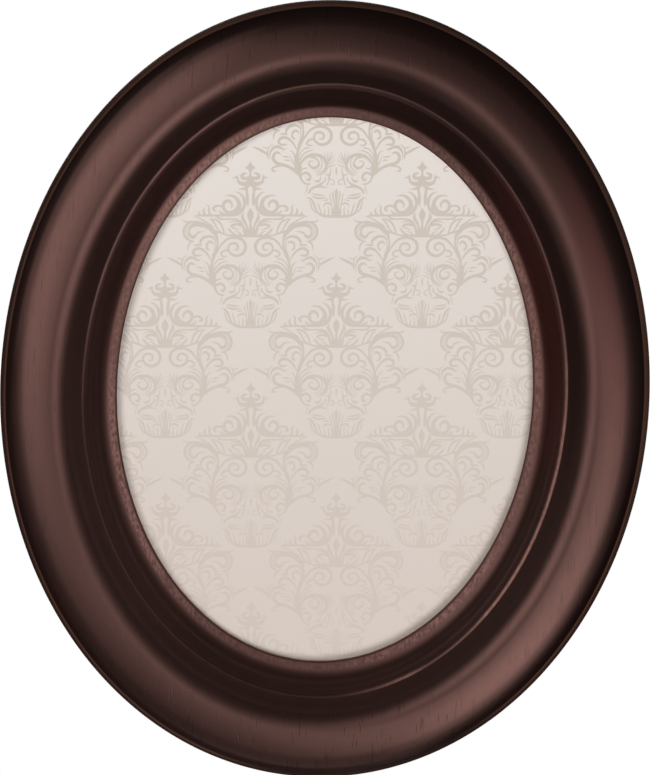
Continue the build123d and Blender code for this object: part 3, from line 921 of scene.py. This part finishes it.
def turned_screw(middle, top_y, length, turn):
    """The points and faces of one screw that stands along Y, its head towards the wall."""
    under_head = top_y - head_dome * mm
    bulge = head_dome - head_edge
    bend = (head_radius ** 2 + bulge ** 2) / (2 * bulge)
    rings = [("dome", head_radius * k / dome_rings) for k in range(1, dome_rings + 1)]
    rings += [("edge", head_radius), ("seat", shank_radius)]
    rings += [("thread", length * k / thread_rings) for k in range(1, thread_rings)]
    points = [(middle.x, top_y - sunk(0, 0) * mm, middle.z)]
    for kind, value in rings:
        for k in range(sides):
            angle = 2 * math.pi * k / sides
            radius, height = value, 0.0
            if kind == "dome":
                cross = sunk(radius * math.cos(angle), radius * math.sin(angle))
                height = head_dome - bend + math.sqrt(bend ** 2 - radius ** 2) - cross
            elif kind == "thread":
                radius, height = threaded(value, angle, length), -value
            points.append((middle.x + radius * math.cos(angle + turn) * mm, under_head + height * mm,
                           middle.z + radius * math.sin(angle + turn) * mm))
    faces = turned_faces(len(rings), sides)
    last, tip = len(points) - sides, len(points)
    points.append((middle.x, under_head - length * mm, middle.z))
    faces += [(last + k, tip, last + (k + 1) % sides) for k in range(sides)]
    return points, faces


steel = plated("zinc_plated_screw", (206, 208, 209), (168, 171, 174), (192, 182, 150), 0.4)
first_turn, next_turn = 0.4, 1.1
for node in ("clip_screws", "hanger_screws"):
    points, faces = [], []
    for order, (low, high) in enumerate(apart(node)):
        length = (high.y - low.y) / mm - head_dome
        turn = first_turn + next_turn * order
        more_points, more_faces = turned_screw((low + high) / 2, high.y, length, turn)
        faces += [tuple(k + len(points) for k in face) for face in more_faces]
        points += more_points
    screws = new_piece(f"threaded_{node}", points, faces, smooth_under=math.radians(38))
    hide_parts(node)
    screws.data.materials.append(steel)
    print(screws.name, order + 1, "screws of", len(points) // (order + 1), "points")

# %% [markdown]
# ## Felt pads
# Two discs of grey felt keep the frame off the wall. Felt is punched from a sheet, so its face is
# flat and its edge is soft. The wool stands a little uneven, which lifts and dents the surface by
# a fraction of a millimetre. That is done with noise, one ring of points after another.

# %% Punched felt discs
flat_share, edge_round, wall_share, foot_share = 0.94, 0.16, 0.8, 0.98
face_rings, bend_rings, wall_rings, disc_sides = 24, 6, 10, 120
wool_scale, wool_stands, side_gives, face_gives = 900, 0.22 * mm, 1.4, 0.3


def felt_disc(name, node):
    """A disc of felt in the place of the model's plain pad."""
    low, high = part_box(node)
    middle, radius, thick = (low + high) / 2, (high.x - low.x) / 2, high.y - low.y
    rings = [(flat_share * k / face_rings, 1.0) for k in range(1, face_rings + 1)]
    for turn in (math.pi / 2 * k / bend_rings for k in range(1, bend_rings + 1)):
        reach = flat_share + (1 - flat_share) * math.sin(turn)
        rings.append((reach, 1 - edge_round * (1 - math.cos(turn))))
    rings += [(1.0, 1 - edge_round - wall_share * k / wall_rings) for k in range(1, wall_rings + 1)]
    rings.append((foot_share, 0.0))
    points = [(middle.x, high.y, middle.z)]
    for reach, share in rings:
        for k in range(disc_sides):
            angle = 2 * math.pi * k / disc_sides
            far = reach * radius
            spot = Vector((far * math.cos(angle), share * thick, far * math.sin(angle)))
            rough = noise.fractal(spot * wool_scale + middle * 7, 1.0, 2.0, 4) * 0.5 + 0.5
            lift = min(max(rough, 0), 1) * wool_stands
            shrink = 1 - lift / radius * (side_gives if share < 1 else face_gives)
            y = high.y - (1 - share) * thick - lift * (1 if share > wall_share else 0)
            points.append((middle.x + spot.x * shrink, max(y, low.y), middle.z + spot.z * shrink))
    last = len(points) - disc_sides
    faces = turned_faces(len(rings), disc_sides) + [tuple(last + k for k in range(disc_sides))]
    disc = new_piece(name, points, faces, smooth_under=math.radians(60))
    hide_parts(node)
    return disc


def pressed_felt():
    felt = Finish("pressed_felt")
    wool = felt.noise(2600, detail=5.0, rough=0.7)
    tufts = felt.noise(700)
    grey = felt.mix(wool.between(0.35, 0.65), colour(52, 50, 49), colour(96, 93, 90))
    return felt.shade(
        Base_Color=felt.mix(tufts.between(0.55, 0.75) * 0.4, grey, colour(128, 124, 119)),
        Roughness=0.95,
        Specular_IOR_Level=0.1,
        Sheen_Weight=0.35,
        Normal=felt.bump(wool + tufts * 0.6, 0.12 * mm, 0.8),
    )


felt = pressed_felt()
for side in ("left", "right"):
    pad = felt_disc(f"wool_pad_{side}", f"felt_pad_{side}")
    pad.data.materials.append(felt)
    print(pad.name, len(pad.data.vertices), "vertices")

# %% [markdown]
# ## Light, floor and room
# Two round studio lamps stand near the camera: one at the left and a little above, the other at
# the right and lower. Their soft reflections make the bright bands on the roll, the bead and the
# shoulder. A large lamp on the wall's side lights the back when the frame is seen from there.

# %% The lamps
def lamp(name, towards, distance, width, power):
    """A round lamp that faces the middle of the oval from a direction."""
    data = bpy.data.lights.new(name, "AREA")
    data.shape = "DISK"
    data.size, data.energy = width, power
    made = bpy.data.objects.new(name, data)
    made.location = oval_centre + Vector(towards).normalized() * distance
    made.rotation_mode = "QUATERNION"
    made.rotation_quaternion = (made.location - oval_centre).to_track_quat("Z", "Y")
    bpy.context.scene.collection.objects.link(made)
    print(name, "stands", distance, "m away and gives", power, "W")


lamp("left_softbox", towards=(-0.457, -0.884, 0.10), distance=1.1, width=0.62, power=6.2)
lamp("right_softbox", towards=(0.36, -0.852, -0.34), distance=1.1, width=0.62, power=7.2)
lamp("wall_side_softbox", towards=(-0.12, 0.95, 0.18), distance=1.6, width=1.2, power=11.0)

# %% [markdown]
# The frame hangs on a wall, so the floor lies far below it. It is a pale disc that fades out at
# its edge, small enough not to light the frame from below.

# %% The floor
floor_drop, floor_reach, floor_sides = 0.9, 0.75, 96
floor_low = pane_low.z - floor_drop
floor_mesh = bpy.data.meshes.new("studio_floor")
floor_edge = [2 * math.pi * k / floor_sides for k in range(floor_sides)]
floor_rim = [(floor_reach * math.cos(t), floor_reach * math.sin(t), floor_low) for t in floor_edge]
floor_mesh.from_pydata(floor_rim, [], [tuple(range(floor_sides))])
floor = bpy.data.objects.new("studio_floor", floor_mesh)
bpy.context.scene.collection.objects.link(floor)
plaster = Finish("pale_floor")
from_middle = plaster.vector("LENGTH", plaster.place((1, 1, 0)))
floor.data.materials.append(plaster.shade(
    Base_Color=plaster.mix(plaster.noise(4), colour(236, 235, 233), colour(242, 241, 239)),
    Roughness=0.85,
    Alpha=1 - from_middle.between(floor_reach * 0.5, floor_reach * 0.97),
))
print("the floor lies", floor_drop, "m below the pane")

# %% [markdown]
# The room is white to the camera. A mirrored ray meets white only straight behind the frame and
# a dim room elsewhere, as in a studio with a white wall, so the grooves stay dark. All other
# rays meet a weak even light, which fills the shadows.

# %% The room
straight_behind, dim_end, all_round = (0.86, 1.0), 0.04, 0.15
world = bpy.data.worlds.new("studio")
bpy.context.scene.world = world
world.use_nodes = True
room = NodeWeb(world.node_tree)
direction = room.node("ShaderNodeTexCoord", {}, out="Generated")
behind = room.vector("DOT_PRODUCT", direction, (0, 1, 0)).between(*straight_behind)
seen, glossy, clear = (room.node("ShaderNodeLightPath", {}, out=f"Is {kind} Ray")
                       for kind in ("Camera", "Glossy", "Transmission"))
mirrored = glossy.over(clear)
in_mirror = dim_end + behind * (1.0 - dim_end)
strength = (all_round * (1 - mirrored) + in_mirror * mirrored) * (1 - seen) + seen
sky = room.node("ShaderNodeBackground", {}, (1.0, 1.0, 1.0), strength)
room.feed(room.tree.nodes.new("ShaderNodeOutputWorld").inputs[0], sky)
print("the room takes", len(room.tree.nodes), "nodes")

# %% [markdown]
# ## The camera
# The photograph was taken from straight in front and slightly above, and the frame leans in it,
# so the camera is rolled. A long lens from 1.5 m keeps the oval's two sides alike.

# %% The camera stands where the photographer stood
camera_distance, camera_rise, camera_roll = 1.5, math.radians(5), math.radians(2.8)
aim_depth, aim_up = 0.018, 0.0024
camera_data = bpy.data.cameras.new("photographer")
camera_data.lens = 167.7
camera = bpy.data.objects.new("photographer", camera_data)
bpy.context.scene.collection.objects.link(camera)
out_to_camera = Vector((0, -math.cos(camera_rise), math.sin(camera_rise)))
aim = Vector((oval_centre.x, back_y - aim_depth, oval_centre.z + aim_up))
camera.location = aim + out_to_camera * camera_distance
camera.rotation_mode = "QUATERNION"
turn = out_to_camera.to_track_quat("Z", "Y").to_matrix() @ Matrix.Rotation(camera_roll, 3, "Z")
camera.rotation_quaternion = turn.to_quaternion()
bpy.context.scene.camera = camera
bpy.context.scene.view_settings.view_transform = "Standard"
print("the camera stands at", [round(v, 3) for v in camera.location])
